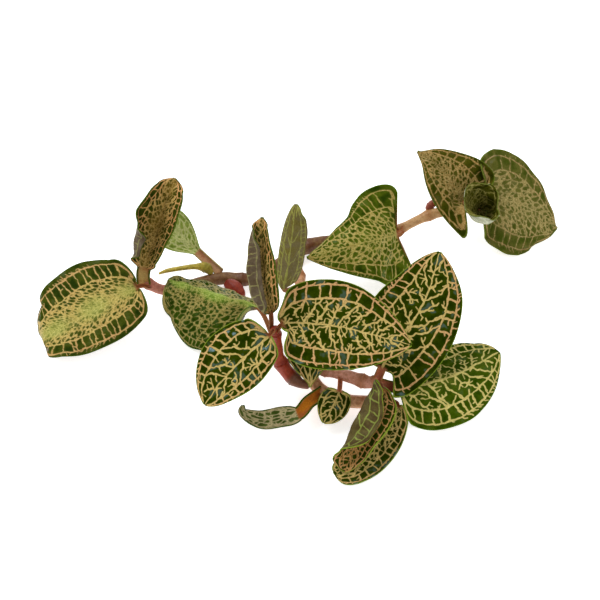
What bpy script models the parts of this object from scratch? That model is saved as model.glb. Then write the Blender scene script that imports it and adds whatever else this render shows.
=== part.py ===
# Unpotted jewel orchid: creeping stems with broad net-veined leaves, lying on a surface.
# Lengths are in millimetres until a mesh is made, and Z is up. The plant's far side is at +Y.
import math

import bmesh
import bpy
import numpy as np

MM = 0.001

# The places below were measured from one fixed point. This brings the middle of the plant's foot
# print to the origin, and its lowest leaves to the surface.
PLANNING_SHIFT = np.array([-2.46, 0.38, -0.4])

# Driving dimensions
BLADE_THICKNESS = 0.7
PETIOLE_HALF_WIDTH = 1.5
TIP_HALF_WIDTH = 1
PETIOLE_CURL = 75      # degrees: a stalk is a gutter, bent this far from its middle to its edge
ROLL_SPAN = 0.4        # share of a half's width in which a roll bends over

# How the forms ease in and out along a blade
STALK_FADE = 8     # the gutter flattens in an eighth of the blade
RIPPLE_FADE = 5
LOBE_FADE = 7
LOBE_POWER = 4
LOBE_WAY = 0.3     # lobes run back along the first three tenths of the midrib
TIP_FADE = 10
PRACTICALLY_ZERO = 1e-9     # keeps a plain end's share from dividing nothing by nothing

# Fineness
STEM_BEVEL_STEPS = 2
STEM_STEPS = 3     # path points for each measured one
CURVE_STEPS = 40
PATH_SAMPLES = 240
ARC_STEPS = 49
SMALL_LEAF = 20    # leaves narrower than this get fewer faces
PETIOLE_ROWS = 2
BLADE_ROWS = {"small": 8, "large": 11}
HALF_COLUMNS = {"small": (0.5, 1), "large": (0.36, 0.7, 1)}
ROLL_COLUMNS = (0, 0.33, 0.67, 1)
END_CROWDING = 0.6

# Colour (linear), roughness
FINISHES = {
    "leaf": ((0.06, 0.09, 0.015), 0.4),
    "stem": ((0.26, 0.1, 0.06), 0.5),
    "bud": ((0.17, 0.02, 0.02), 0.45),
    "root": ((0.48, 0.36, 0.1), 0.6),
}

# Leaves. Each spine runs from the stem along the petiole and the midrib to the tip, and the blade
# starts at the spine's point number "base". A face is where the upper side looks, at even steps
# along the spine. "peak" is where a half is widest, a low "blunt" gives full ends, and a taper or a
# neck thins the tip or the base. Folds, curls and rolls are in degrees, from the blade's base to its
# tip: a fold turns a half up from the midrib, a curl bends it further out to its margin, and a roll
# bends it all at once from the share "roll_at" of its width. "stalk_curl" is the petiole's own curl.
# In millimetres: lobes reach back beside the petiole, left and right, a sweep carries the tip's
# corners ahead, and a wave ripples the margin. "sides" widens or narrows each half.
LEAVES = {
    "left_leaf": dict(
        spine=[(-62.8, 12.4, 13.4), (-66.3, 9.6, 16.5), (-78.5, 1.2, 16.5), (-90.3, -5.2, 13.5),
               (-99.5, -9, 10.5), (-103.7, -9, 7), (-102.5, -9.5, 2)],
        base=1, face=[(0, -0.5, 0.87), (0, -0.5, 0.87), (-0.2, -0.5, 0.8), (-0.95, -0.3, 0.3)],
        width=37, peak=(0.4, 0.45), blunt=0.42, sides=(0.86, 1.1), fold=(8, 4, 0),
        curl=(-16, -12, -10), lobe=(6, 4), wave=0.5, waves=3),
    "left_cupped_leaf": dict(
        spine=[(-63.7, 15.2, 14.6), (-63.4, 17.3, 19.5), (-58.3, 25.1, 31), (-54.3, 31.4, 42),
               (-50, 37.7, 51)],
        base=1, face=[(-0.1, -0.8, 0.5), (-0.15, -0.8, 0.5), (-0.15, -0.8, 0.5)], petiole=2.8,
        width=35, peak=(0.43, 0.5), blunt=0.4, sides=(1.05, 0.84), taper=0.03, neck=0.04,
        left_fold=(20, 22, 28, 30, 20), left_curl=(20, 25, 45, 50, 30), roll_at=0.42,
        left_roll=(0, 110, 115, 40, 0, 0, 0), right_fold=(40, 44, 40, 30), right_curl=(30, 30, 20, 10),
        wave=0.4, waves=2),
    "left_back_leaf": dict(
        spine=[(-34.2, 26.9, 7.3), (-42.9, 35.2, 9.5), (-53.5, 41.2, 19), (-62.4, 45.7, 27)],
        base=1, face=[(0, -0.7, 0.7), (0, -0.7, 0.7)],
        width=19, peak=0.5, blunt=0.75, sides=(1, 0.72), fold=(8, 6, 4), curl=(5, 5, 5), wave=0.4, waves=2),
    "inner_folded_leaf": dict(
        spine=[(-9.7, -23.8, 21.2), (-16.6, -6.3, 22), (-29.9, -0.8, 22.5), (-44.2, 6.5, 21),
               (-53.5, 12, 18.5)],
        base=1, face=[(0, 0.1, 1), (0, 0.1, 1), (0, 0, 1)],
        width=38, peak=0.55, blunt=0.5, sides=(1.36, 0.6), left_fold=(-40, -42, -38),
        left_curl=(-25, -28, -30), right_fold=(-20, -20, -20), right_curl=(-20, -20, -20),
        sweep=1, taper=0.02, wave=0.5, waves=3),
    "centre_rolled_leaf": dict(
        spine=[(-11.2, -23.2, 33.2), (-11.3, -21.5, 38), (-13.3, -16.1, 48), (-14.2, -6.3, 57),
               (-14.3, 2.3, 66)],
        base=1, face=[(0.2, -0.65, 0.7), (0.2, -0.65, 0.7), (0.1, -0.65, 0.7)],
        width=28, peak=0.4, blunt=0.35, sides=(1.12, 0.74), taper=0.05, neck=0.04,
        left_fold=(10, 0, 0, 0, 0, 0, 0),
        left_curl=(60, 20, 10, 10, 10, 10, 0), left_roll=(0, 150, 165, 165, 160, 100, 0),
        roll_at=0.35, right_fold=(50, 60, 64, 66, 60), right_curl=(30, 10, 10, 10, 0),
        wave=0.3, waves=2),
    "centre_back_leaf": dict(
        spine=[(-2, 16.6, 8.2), (-6.5, 12.1, 12), (-4.9, 17.6, 20), (-3.2, 25.1, 31),
               (-1.6, 32.9, 41)],
        base=1, face=[(0, 0.6, -0.4), (0, 0.6, -0.4)],
        width=16, peak=0.4, blunt=0.42, sides=(1, 0.7), left_fold=(30, 30, 30, 20, -40),
        left_curl=(20, 20, 20, 0, -60), right_fold=(30, 30, 20), right_curl=(20, 20, 10),
        wave=0.3, waves=2),
    "centre_leaf": dict(
        spine=[(-7.9, -25.4, 33.3), (-6.6, -25.3, 35.5), (-2, -25, 36.3), (14, -28, 37.8),
               (28.4, -30.8, 35.8), (42.4, -32.4, 32)],
        base=1, face=[(0, -0.45, 0.89), (0, -0.45, 0.89), (0, -0.45, 0.89)],
        width=36, peak=0.36, blunt=0.45, sides=(1, 0.96), fold=(8, 4, 2), curl=(-8, -8, -5),
        lobe=(5, 5), wave=0.4, waves=3),
    "front_left_leaf": dict(
        spine=[(-10.3, -27.2, 33), (-11.6, -29.6, 34), (-21, -37.3, 30.5), (-30.2, -45, 24.5),
               (-36, -50.3, 18)],
        base=1, face=[(-0.3, -0.5, 0.8), (-0.3, -0.5, 0.8), (-0.35, -0.5, 0.8)],
        width=29, peak=0.42, blunt=0.47, sides=(0.76, 1.08), fold=(6, 6, 4), curl=(-20, -16, -8),
        lobe=(3, 3), wave=0.5, waves=2),
    "right_upright_leaf": dict(
        spine=[(30.4, -35.1, 15.9), (31.6, -32.6, 17.2), (34.1, -28.8, 20), (40.6, -22.5, 27),
               (45.2, -17.2, 31.5), (50, -8.8, 36.5), (54.6, 6.1, 42)],
        base=1, face=[(0, -0.55, 0.83), (0, -0.55, 0.83), (0.1, -0.55, 0.83)],
        width=36, peak=0.35, blunt=0.38, sides=(1, 1), fold=(0, 2, 4), curl=(-6, -6, -4),
        lobe=(11, 13), wave=0.4, waves=3),
    "right_low_leaf": dict(
        spine=[(31.6, -36.9, 12.7), (38.5, -37.2, 11), (52.8, -35.4, 13), (63.6, -30.6, 13),
               (78.7, -20.1, 12)],
        base=1, face=[(0, -0.25, 0.95), (0, -0.25, 0.95), (0, -0.2, 0.95)],
        width=37, peak=(0.42, 0.36), blunt=0.42, sides=(1.08, 1.02), left_fold=(-24, -28, -15),
        right_fold=(-26, -14, -11), curl=(-6, -6, -8), lobe=(2, 4), wave=0.5, waves=3),
    "front_rolled_leaf": dict(
        spine=[(30.2, -38.5, 14.9), (30.9, -40.8, 16.5), (28.6, -46.8, 17), (25, -54.6, 15.5),
               (21.6, -60.4, 12), (19.7, -65.4, 8), (17, -71.4, 4)],
        base=1, face=[(0.25, -0.6, 0.75), (0.2, -0.6, 0.75), (0.1, -0.6, 0.8), (0, -0.6, 0.8)],
        width=30, peak=(0.35, 0.42), blunt=0.4, sides=(0.76, 1), left_fold=(5, 10, 15, 10),
        left_curl=(60, 45, 45, 20), right_curl=(20, 10, 10, 10, 5),
        right_roll=(0, 110, 155, 150, 70, 0), roll_at=0.1, neck=0.03, wave=0.3, waves=2),
    "front_under_leaf": dict(
        spine=[(36.2, -41, 6.5), (37.4, -45.6, 10.2), (33.2, -53, 9), (27.1, -60.4, 5.5),
               (19, -67.4, 3.5), (12.5, -70.6, 3.5)],
        base=1, face=[(0, -0.3, 0.9), (0, -0.3, 0.9), (0, -0.3, 0.9)],
        width=16, peak=(0.55, 0.45), blunt=0.42, sides=(1.25, 1), fold=(8, 4, 2), curl=(5, 5, 5),
        wave=0.5, waves=3),
    "small_twisted_leaf": dict(
        spine=[(7.6, -38.1, 8), (3.5, -42, 8.5), (-0.8, -47.7, 8.5), (-7.7, -48.8, 8),
               (-14.7, -49.1, 6.5), (-21.7, -46.2, 7), (-22.1, -43.8, 9)],
        base=2, face=[(0, -0.6, 0.8), (0, -0.5, 0.8), (0, -0.3, 0.9)], petiole=2.2,
        width=7, peak=0.4, blunt=0.42, fold=(10, 10, 5), curl=(10, 10, 10), wave=0.5, waves=2),
    "small_heart_leaf": dict(
        spine=[(15.6, -34, 11.4), (15.1, -39, 11), (12.4, -45.2, 9), (9.1, -50.2, 6)],
        base=1, face=[(0, -0.6, 0.8), (0, -0.6, 0.8)],
        width=12.5, peak=0.4, blunt=0.42, fold=(-4, -4, -4), curl=(-10, -10, -10), lobe=(2, 2),
        wave=0.2, waves=2),
    "small_hidden_leaf": dict(
        spine=[(2, -14.6, 10), (2.8, -20, 14.5), (3.5, -26.2, 16), (3.9, -33.3, 15),
               (3.9, -37.6, 12)],
        base=1, face=[(0, -0.6, 0.8), (0, -0.6, 0.8)],
        width=16, peak=0.4, blunt=0.42, sides=(1, 1), fold=(2, 2, 2), curl=(0, 0, 0), wave=0.2,
        waves=2),
    "back_heart_leaf": dict(
        spine=[(43.2, 46.9, 10.4), (40.9, 41.8, 13.2), (28.8, 30, 22), (16.4, 27, 20.5),
               (2.9, 27.8, 14)],
        base=1, face=[(0.6, -0.4, 0.5), (0.1, -0.55, 0.8), (0, -0.55, 0.8)],
        width=44, peak=(0.12, 0.11), blunt=0.12, sides=(0.94, 1), stalk_curl=35, left_fold=(0, 0, 0),
        left_curl=(-10, -10, -10), right_fold=(0, -8, -8), right_curl=(-10, -32, -36),
        lobe=(-8, 0), lobe_fade=10, wave=0.5, waves=3),
    "far_twisted_leaf": dict(
        spine=[(71.7, 55.1, 15.6), (69.5, 54.8, 20.4), (63.2, 58.6, 28), (56.2, 65.2, 33),
               (49.7, 70.2, 34)],
        base=1, face=[(0.47, -0.57, 0.68), (-0.1, -0.6, 0.7), (0, -0.6, 0.7)],
        width=30, peak=(0.24, 0.2), blunt=0.3, sides=(0.78, 1.12), fold=(10, 5, 0),
        curl=(10, 5, 0), lobe=(27, 4), wave=0.5, waves=3),
    "far_round_leaf": dict(
        spine=[(74.2, 59.9, 14.6), (80.6, 58, 18.6), (89, 56.8, 17.5), (98.5, 56.5, 13.3),
               (105.5, 55.8, 8.7), (110.8, 53.5, 4.5)],
        base=1, face=[(0.08, -0.8, 0.6), (0.2, -0.55, 0.75), (0.4, -0.5, 0.7)],
        width=45, peak=(0.2, 0.42), blunt=0.33, sides=(0.94, 0.97), fold=(0, 0, 0), curl=(-5, -5, -5),
        lobe=(11, 4), lobe_fade=14, wave=0.5, waves=4),
    "far_young_leaf": dict(
        spine=[(73.2, 56.2, 18), (75, 52.2, 17.8), (73, 47, 21), (69.6, 44, 27), (67.6, 43, 34)],
        base=1, face=[(1, 0, 0.1), (1, 0, 0.1), (1, -0.1, 0.2)],
        width=40, peak=0.5, blunt=0.5, neck=0.05, petiole=2.4, stalk_curl=155,
        curl=(162, 170, 163, 130, 90, 50), wave=0.1, waves=2),
}

# Stems, buds and roots. Each point is x, y, z and the piece's radius there.
STEMS = {
    "creeping_stem": [(-52.5, 15.8, 7.3, 2.1), (-45.7, 19.6, 6, 2.3), (-32.6, 24.4, 5, 2.6),
                      (-21.3, 24, 5, 2.4), (-13.4, 28.5, 5, 2.3), (3.8, 42.7, 5, 2.8),
                      (19.2, 45.6, 5.3, 2.6), (32.1, 47.5, 6, 2.3), (41.5, 48.3, 8.2, 2.2)],
    "left_shoot": [(-53.6, 15.3, 7.9, 1.9), (-57.6, 14.7, 9.5, 2.1), (-61.2, 15.2, 11.5, 2.2),
                   (-62.8, 15.1, 13, 2.2)],
    "far_shoot": [(42.5, 48.7, 8.7, 1.9), (53.5, 53.9, 11, 2), (62, 55.5, 13, 2.2),
                  (71.8, 57.6, 14, 2.2)],
    "front_stem": [(-2.9, 33.3, 5, 1.9), (-0.7, 28, 5.2, 2), (0.3, 17.2, 6, 2.2), (1.2, -4.9, 7, 2.2),
                   (3.6, -24.3, 7, 2.4), (7.8, -34.6, 7, 2.6), (17.6, -39.2, 6, 2.6),
                   (25.3, -40.2, 6, 2.5), (34.2, -39.4, 5, 2.4)],
    "centre_shoot": [(3.1, -33.4, 8, 1.5), (-0.5, -32.3, 8.3, 2), (-4.9, -28.9, 10.5, 2.7),
                     (-8, -26.9, 16, 2.2), (-8.6, -25.9, 22, 2), (-9.6, -24.9, 32.5, 1.8)],
    "right_shoot": [(7.4, -27.4, 10.3, 2), (12, -29, 11, 2.2), (19.5, -32.5, 12, 2.4),
                    (26.4, -35.7, 13, 2.2), (29.5, -36.2, 14.5, 2)],
    "red_bud": [(-30, 20.8, 6.3, 1.6), (-28.2, 18.8, 6.3, 2.6), (-26.2, 16.8, 6, 2.5),
                (-24.4, 15, 5.6, 1.3)],
    "pale_root": [(-23.9, 14.5, 5.4, 0.8), (-21, 12.2, 4.4, 0.8), (-17.8, 10.7, 3.4, 0.5)],
    "young_root": [(-37.4, 25.5, 7.4, 1.2), (-39.4, 26.9, 9, 1.9), (-43.7, 26.6, 10, 1.2),
                   (-48.7, 25.8, 10, 1), (-54.9, 24.8, 9.5, 0.9), (-57.9, 24.8, 8, 0.5)],
    "far_bud": [(56, 57.8, 12.8, 1.2), (57.6, 58.7, 14, 1.2), (59.9, 59.5, 15.2, 0.5)],
}


def smooth_path(points, samples=PATH_SAMPLES):
    # A Catmull-Rom curve through the points, sampled at even steps along its length.
    points = np.asarray(points, float)
    ends = np.vstack([2 * points[0] - points[1], points, 2 * points[-1] - points[-2]])
    pieces = []
    for before, here, after, beyond in zip(ends[:-3], ends[1:-2], ends[2:-1], ends[3:]):
        t = np.linspace(0, 1, CURVE_STEPS, endpoint=False)[:, None]
        pieces.append(0.5 * (2 * here + (after - before) * t
                             + (2 * before - 5 * here + 4 * after - beyond) * t ** 2
                             + (3 * here - before - 3 * after + beyond) * t ** 3))
    curve = np.vstack(pieces + [points[-1:]])
    steps = np.linalg.norm(np.diff(curve[:, :3], axis=0), axis=1)
    length = np.concatenate([[0], np.cumsum(steps)])
    even = np.linspace(0, length[-1], samples)
    return np.stack([np.interp(even, length, column) for column in curve.T], axis=1), length[-1]


def along(values, where):
    # A smooth reading of evenly spaced values at the places from 0 to 1.
    values = np.asarray(values, float)
    if len(values) == 1:
        return np.full(len(where), values[0])
    scaled = np.clip(where, 0, 1) * (len(values) - 1)
    index = np.minimum(scaled.astype(int), len(values) - 2)
    t = scaled - index
    t = t * t * (3 - 2 * t)
    return values[index] * (1 - t) + values[index + 1] * t


def unit(vectors):
    return vectors / np.linalg.norm(vectors, axis=1, keepdims=True)


def spine_frames(leaf):
    # Positions, tangents, upward normals and sideways directions along the leaf's spine.
    path, length = smooth_path(leaf["spine"])
    tangent = unit(np.gradient(path, axis=0))
    where = np.linspace(0, 1, len(path))
    hint = np.stack([along(column, where) for column in np.array(leaf["face"], float).T], axis=1)
    normal = unit(hint - (hint * tangent).sum(1, keepdims=True) * tangent)
    return path, tangent, normal, np.cross(tangent, normal), length


def blade_start(leaf):
    # The share of the spine's length that is petiole.
    path, length = smooth_path(leaf["spine"])
    base = np.array(leaf["spine"][leaf["base"]], float)
    return np.argmin(np.linalg.norm(path - base, axis=1)) / (len(path) - 1)


def half_width(leaf, u, side):
    # The half width of the blade at u from its base (0) to its tip (1), for one side.
    peak = np.where(side < 0, *np.broadcast_to(leaf["peak"], 2))
    rise = leaf["blunt"]
    fall = rise * (1 - peak) / peak
    inside = np.clip(u, 0, 1)
    share = (inside / peak) ** rise * ((1 - inside) / (1 - peak)) ** fall
    share = share * (1 - inside) / (1 - inside + leaf.get("taper", PRACTICALLY_ZERO))
    share = share * inside / (inside + leaf.get("neck", PRACTICALLY_ZERO))
    scale = np.where(side > 0, leaf.get("sides", (1, 1))[1], leaf.get("sides", (1, 1))[0])
    stalk = leaf.get("petiole", PETIOLE_HALF_WIDTH) * (1 - inside) + TIP_HALF_WIDTH * inside
    return np.hypot(leaf["width"] / 2 * scale * share, stalk)


def side_values(leaf, what, u, side):
    # A fold, curl or roll at u, which may differ between the two sides.
    shared = leaf.get(what, (0,))
    left = along(leaf.get("left_" + what, shared), u)
    right = along(leaf.get("right_" + what, shared), u)
    return np.radians(np.where(side < 0, left, right))


def leaf_points(leaf, s, v):
    # The middle surface at s along the spine (0 to 1) and v across it (-1 left to 1 right).
    path, tangent, normal, sideways, length = spine_frames(leaf)
    start = blade_start(leaf)
    u = (s - start) / (1 - start)
    inside = np.clip(u, 0, 1)
    where = np.linspace(0, 1, len(path))
    at = [np.stack([np.interp(s, where, column) for column in table.T], axis=1)
          for table in (path, tangent, normal, sideways)]
    side = np.where(v < 0, -1.0, 1.0)
    stalk = np.clip(1 - u * STALK_FADE, 0, 1)
    blade = (1 - stalk) * np.clip((1 - inside) * TIP_FADE, 0, 1)
    gutter = math.radians(leaf.get("stalk_curl", PETIOLE_CURL))
    out = np.linspace(0, 1, ARC_STEPS)[None, :] * np.abs(v)[:, None]
    turned = np.clip((out - leaf.get("roll_at", 0)) / ROLL_SPAN, 0, 1)
    angle = ((side_values(leaf, "fold", u, side) * blade)[:, None]
             + (side_values(leaf, "curl", u, side) * blade + gutter * stalk)[:, None] * out
             + (side_values(leaf, "roll", u, side) * blade)[:, None] * turned ** 2 * (3 - 2 * turned))
    reach = half_width(leaf, u, side) * np.abs(v)
    across = reach * np.cos(angle).mean(axis=1)
    lift = reach * np.sin(angle).mean(axis=1)
    edge = np.abs(v) ** 2
    ripple = np.sin(2 * math.pi * leaf["waves"] * inside + side)
    lift = lift + leaf["wave"] * edge * ripple * np.clip(u * RIPPLE_FADE, 0, 1)
    lobe = np.where(side < 0, *leaf.get("lobe", (0, 0)))
    rounding = np.clip(u * leaf.get("lobe_fade", LOBE_FADE), 0, 1)
    back = lobe * edge * (1 - inside) ** LOBE_POWER * rounding ** 2 * (3 - 2 * rounding)
    ahead = leaf.get("sweep", 0) * edge * inside ** LOBE_POWER * np.clip((1 - inside) * TIP_FADE, 0, 1)
    first, last = (int((start + share * (1 - start)) * (len(path) - 1)) for share in (0, LOBE_WAY))
    way = unit((path[last] - path[first])[None, :])
    return (at[0] + at[3] * (side * across)[:, None] + at[2] * lift[:, None]
            + at[1] * ahead[:, None] - way * back[:, None])


def size_of(leaf):
    return "small" if leaf["width"] < SMALL_LEAF else "large"


def rows_of(leaf):
    # Places of the leaf's rows along its spine, closer at both ends of the blade.
    start = blade_start(leaf)
    steps = BLADE_ROWS[size_of(leaf)] + 1
    stalk = np.linspace(0, start, PETIOLE_ROWS, endpoint=False)
    crowded = (1 - np.cos(np.linspace(0, math.pi, steps))) / 2
    even = np.linspace(0, 1, steps)
    blade = start + (1 - start) * (END_CROWDING * crowded + (1 - END_CROWDING) * even)
    return np.concatenate([stalk, blade])


def columns_of(leaf):
    # Places of the leaf's columns from its left margin to its right one. A rolled half has more
    # of them round its bend.
    halves = []
    for side in ("left", "right"):
        half = HALF_COLUMNS[size_of(leaf)]
        if side + "_roll" in leaf:
            bend = leaf["roll_at"] + ROLL_SPAN * np.array(ROLL_COLUMNS)
            half = (*bend, (1 + bend[-1]) / 2, 1)
        halves.append(np.array(half))
    return np.concatenate([-halves[0][::-1], [0], halves[1]])


def material_for(name, colour, roughness):
    material = bpy.data.materials.new(name)
    material.use_nodes = True
    shader = material.node_tree.nodes["Principled BSDF"]
    shader.inputs["Base Color"].default_value = (*colour, 1)
    shader.inputs["Roughness"].default_value = roughness
    return material


def add_object(name, data, material):
    thing = bpy.data.objects.new(name, data)
    thing.data.materials.append(material)
    bpy.context.scene.collection.objects.link(thing)
    return thing


def make_leaf(name, leaf, material):
    rows = rows_of(leaf)
    columns = columns_of(leaf)
    sheet = bmesh.new()
    bmesh.ops.create_grid(sheet, x_segments=len(columns) - 1, y_segments=len(rows) - 1, size=1)
    grid = (np.array([vertex.co for vertex in sheet.verts]) + 1) / 2
    s = np.interp(grid[:, 1] * (len(rows) - 1), np.arange(len(rows)), rows)
    v = np.interp(grid[:, 0] * (len(columns) - 1), np.arange(len(columns)), columns)
    for vertex, point in zip(sheet.verts, leaf_points(leaf, s, v)):
        vertex.co = (point + PLANNING_SHIFT) * MM
    bmesh.ops.triangulate(sheet, faces=sheet.faces[:], quad_method="FIXED")
    mesh = bpy.data.meshes.new(name)
    sheet.to_mesh(mesh)
    sheet.free()
    mesh.shade_smooth()
    thing = add_object(name, mesh, material)
    thicken = thing.modifiers.new("Thickness", "SOLIDIFY")
    thicken.thickness = BLADE_THICKNESS * MM
    thicken.offset = 0


def make_stem(name, points, material):
    path, length = smooth_path(points, STEM_STEPS * len(points))
    curve = bpy.data.curves.new(name, "CURVE")
    curve.dimensions = "3D"
    curve.bevel_depth = MM
    curve.bevel_resolution = STEM_BEVEL_STEPS
    curve.use_fill_caps = True
    spline = curve.splines.new("POLY")
    spline.points.add(len(path) - 1)
    for point, (*place, radius) in zip(spline.points, path):
        point.co = (*(place + PLANNING_SHIFT) * MM, 1)
        point.radius = radius
    add_object(name, curve, material)


def main():
    for thing in list(bpy.data.objects):
        bpy.data.objects.remove(thing, do_unlink=True)
    finishes = {name: material_for(name, *finish) for name, finish in FINISHES.items()}
    for name, leaf in LEAVES.items():
        make_leaf(name, leaf, finishes["leaf"])
    for name, points in STEMS.items():
        kind = next((word for word in ("bud", "root") if name.endswith(word)), "stem")
        make_stem(name, points, finishes[kind])


main()
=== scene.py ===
# A jewel orchid lifted out of its pot: creeping stems with velvety, gold-netted leaves, lying on a
# pale surface. Lengths are in millimetres until a mesh is made.
import math
import random

import bmesh
import bpy
import numpy as np
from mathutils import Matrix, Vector, kdtree


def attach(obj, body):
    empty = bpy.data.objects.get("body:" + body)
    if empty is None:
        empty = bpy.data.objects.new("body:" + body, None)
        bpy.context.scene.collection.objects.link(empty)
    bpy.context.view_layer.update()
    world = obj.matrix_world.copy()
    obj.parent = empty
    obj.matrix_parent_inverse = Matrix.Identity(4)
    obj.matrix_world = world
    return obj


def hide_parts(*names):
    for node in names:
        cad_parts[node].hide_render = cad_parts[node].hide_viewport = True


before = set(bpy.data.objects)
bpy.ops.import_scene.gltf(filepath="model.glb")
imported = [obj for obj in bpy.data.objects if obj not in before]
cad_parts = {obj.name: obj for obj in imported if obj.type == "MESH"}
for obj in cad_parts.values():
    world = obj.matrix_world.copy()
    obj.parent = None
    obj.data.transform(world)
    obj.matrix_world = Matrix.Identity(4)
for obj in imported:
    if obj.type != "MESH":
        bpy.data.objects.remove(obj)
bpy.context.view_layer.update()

mm = 0.001
# The places in the tables were measured from one point, and this brings them into the frame.
planningShift = np.array([-2.46, 0.38, -0.4])

# How every blade is formed, as in the part's source
form = {"petioleHalf": 1.5, "tipHalf": 0.4, "petioleCurl": 120, "rollSpan": 0.4,
        "stalkFade": 8, "rippleFade": 5, "lobeFade": 7, "lobePower": 4, "lobeWay": 0.3, "tipFade": 10,
        "arcSteps": 33, "pathSamples": 240, "curveSteps": 40}
# What is finer here: the spacing of the points, the thickness, how far a stalk reaches into its stem,
# and the relief between the veins
fine = {"spacing": 0.42, "stalkSpacing": 0.8, "fewestColumns": 31, "fewestStalkRows": 4,
        "thickness": 0.5, "clasp": 1.8, "puff": 0.16, "puffReach": 0.7, "calmEdge": 1.5,
        "swell": 0.25, "swellLength": 9, "bend": 0.08, "tipRim": 0.3,
        "stalkEnd": (-0.01, 0.04), "stalkSides": (1.6, 3.2), "veinSpan": (-0.6, 3), "edgeSpan": (0, 6),
        "glowSwing": 0.25, "warmGain": 1.25, "warmSwing": 0.12}

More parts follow.
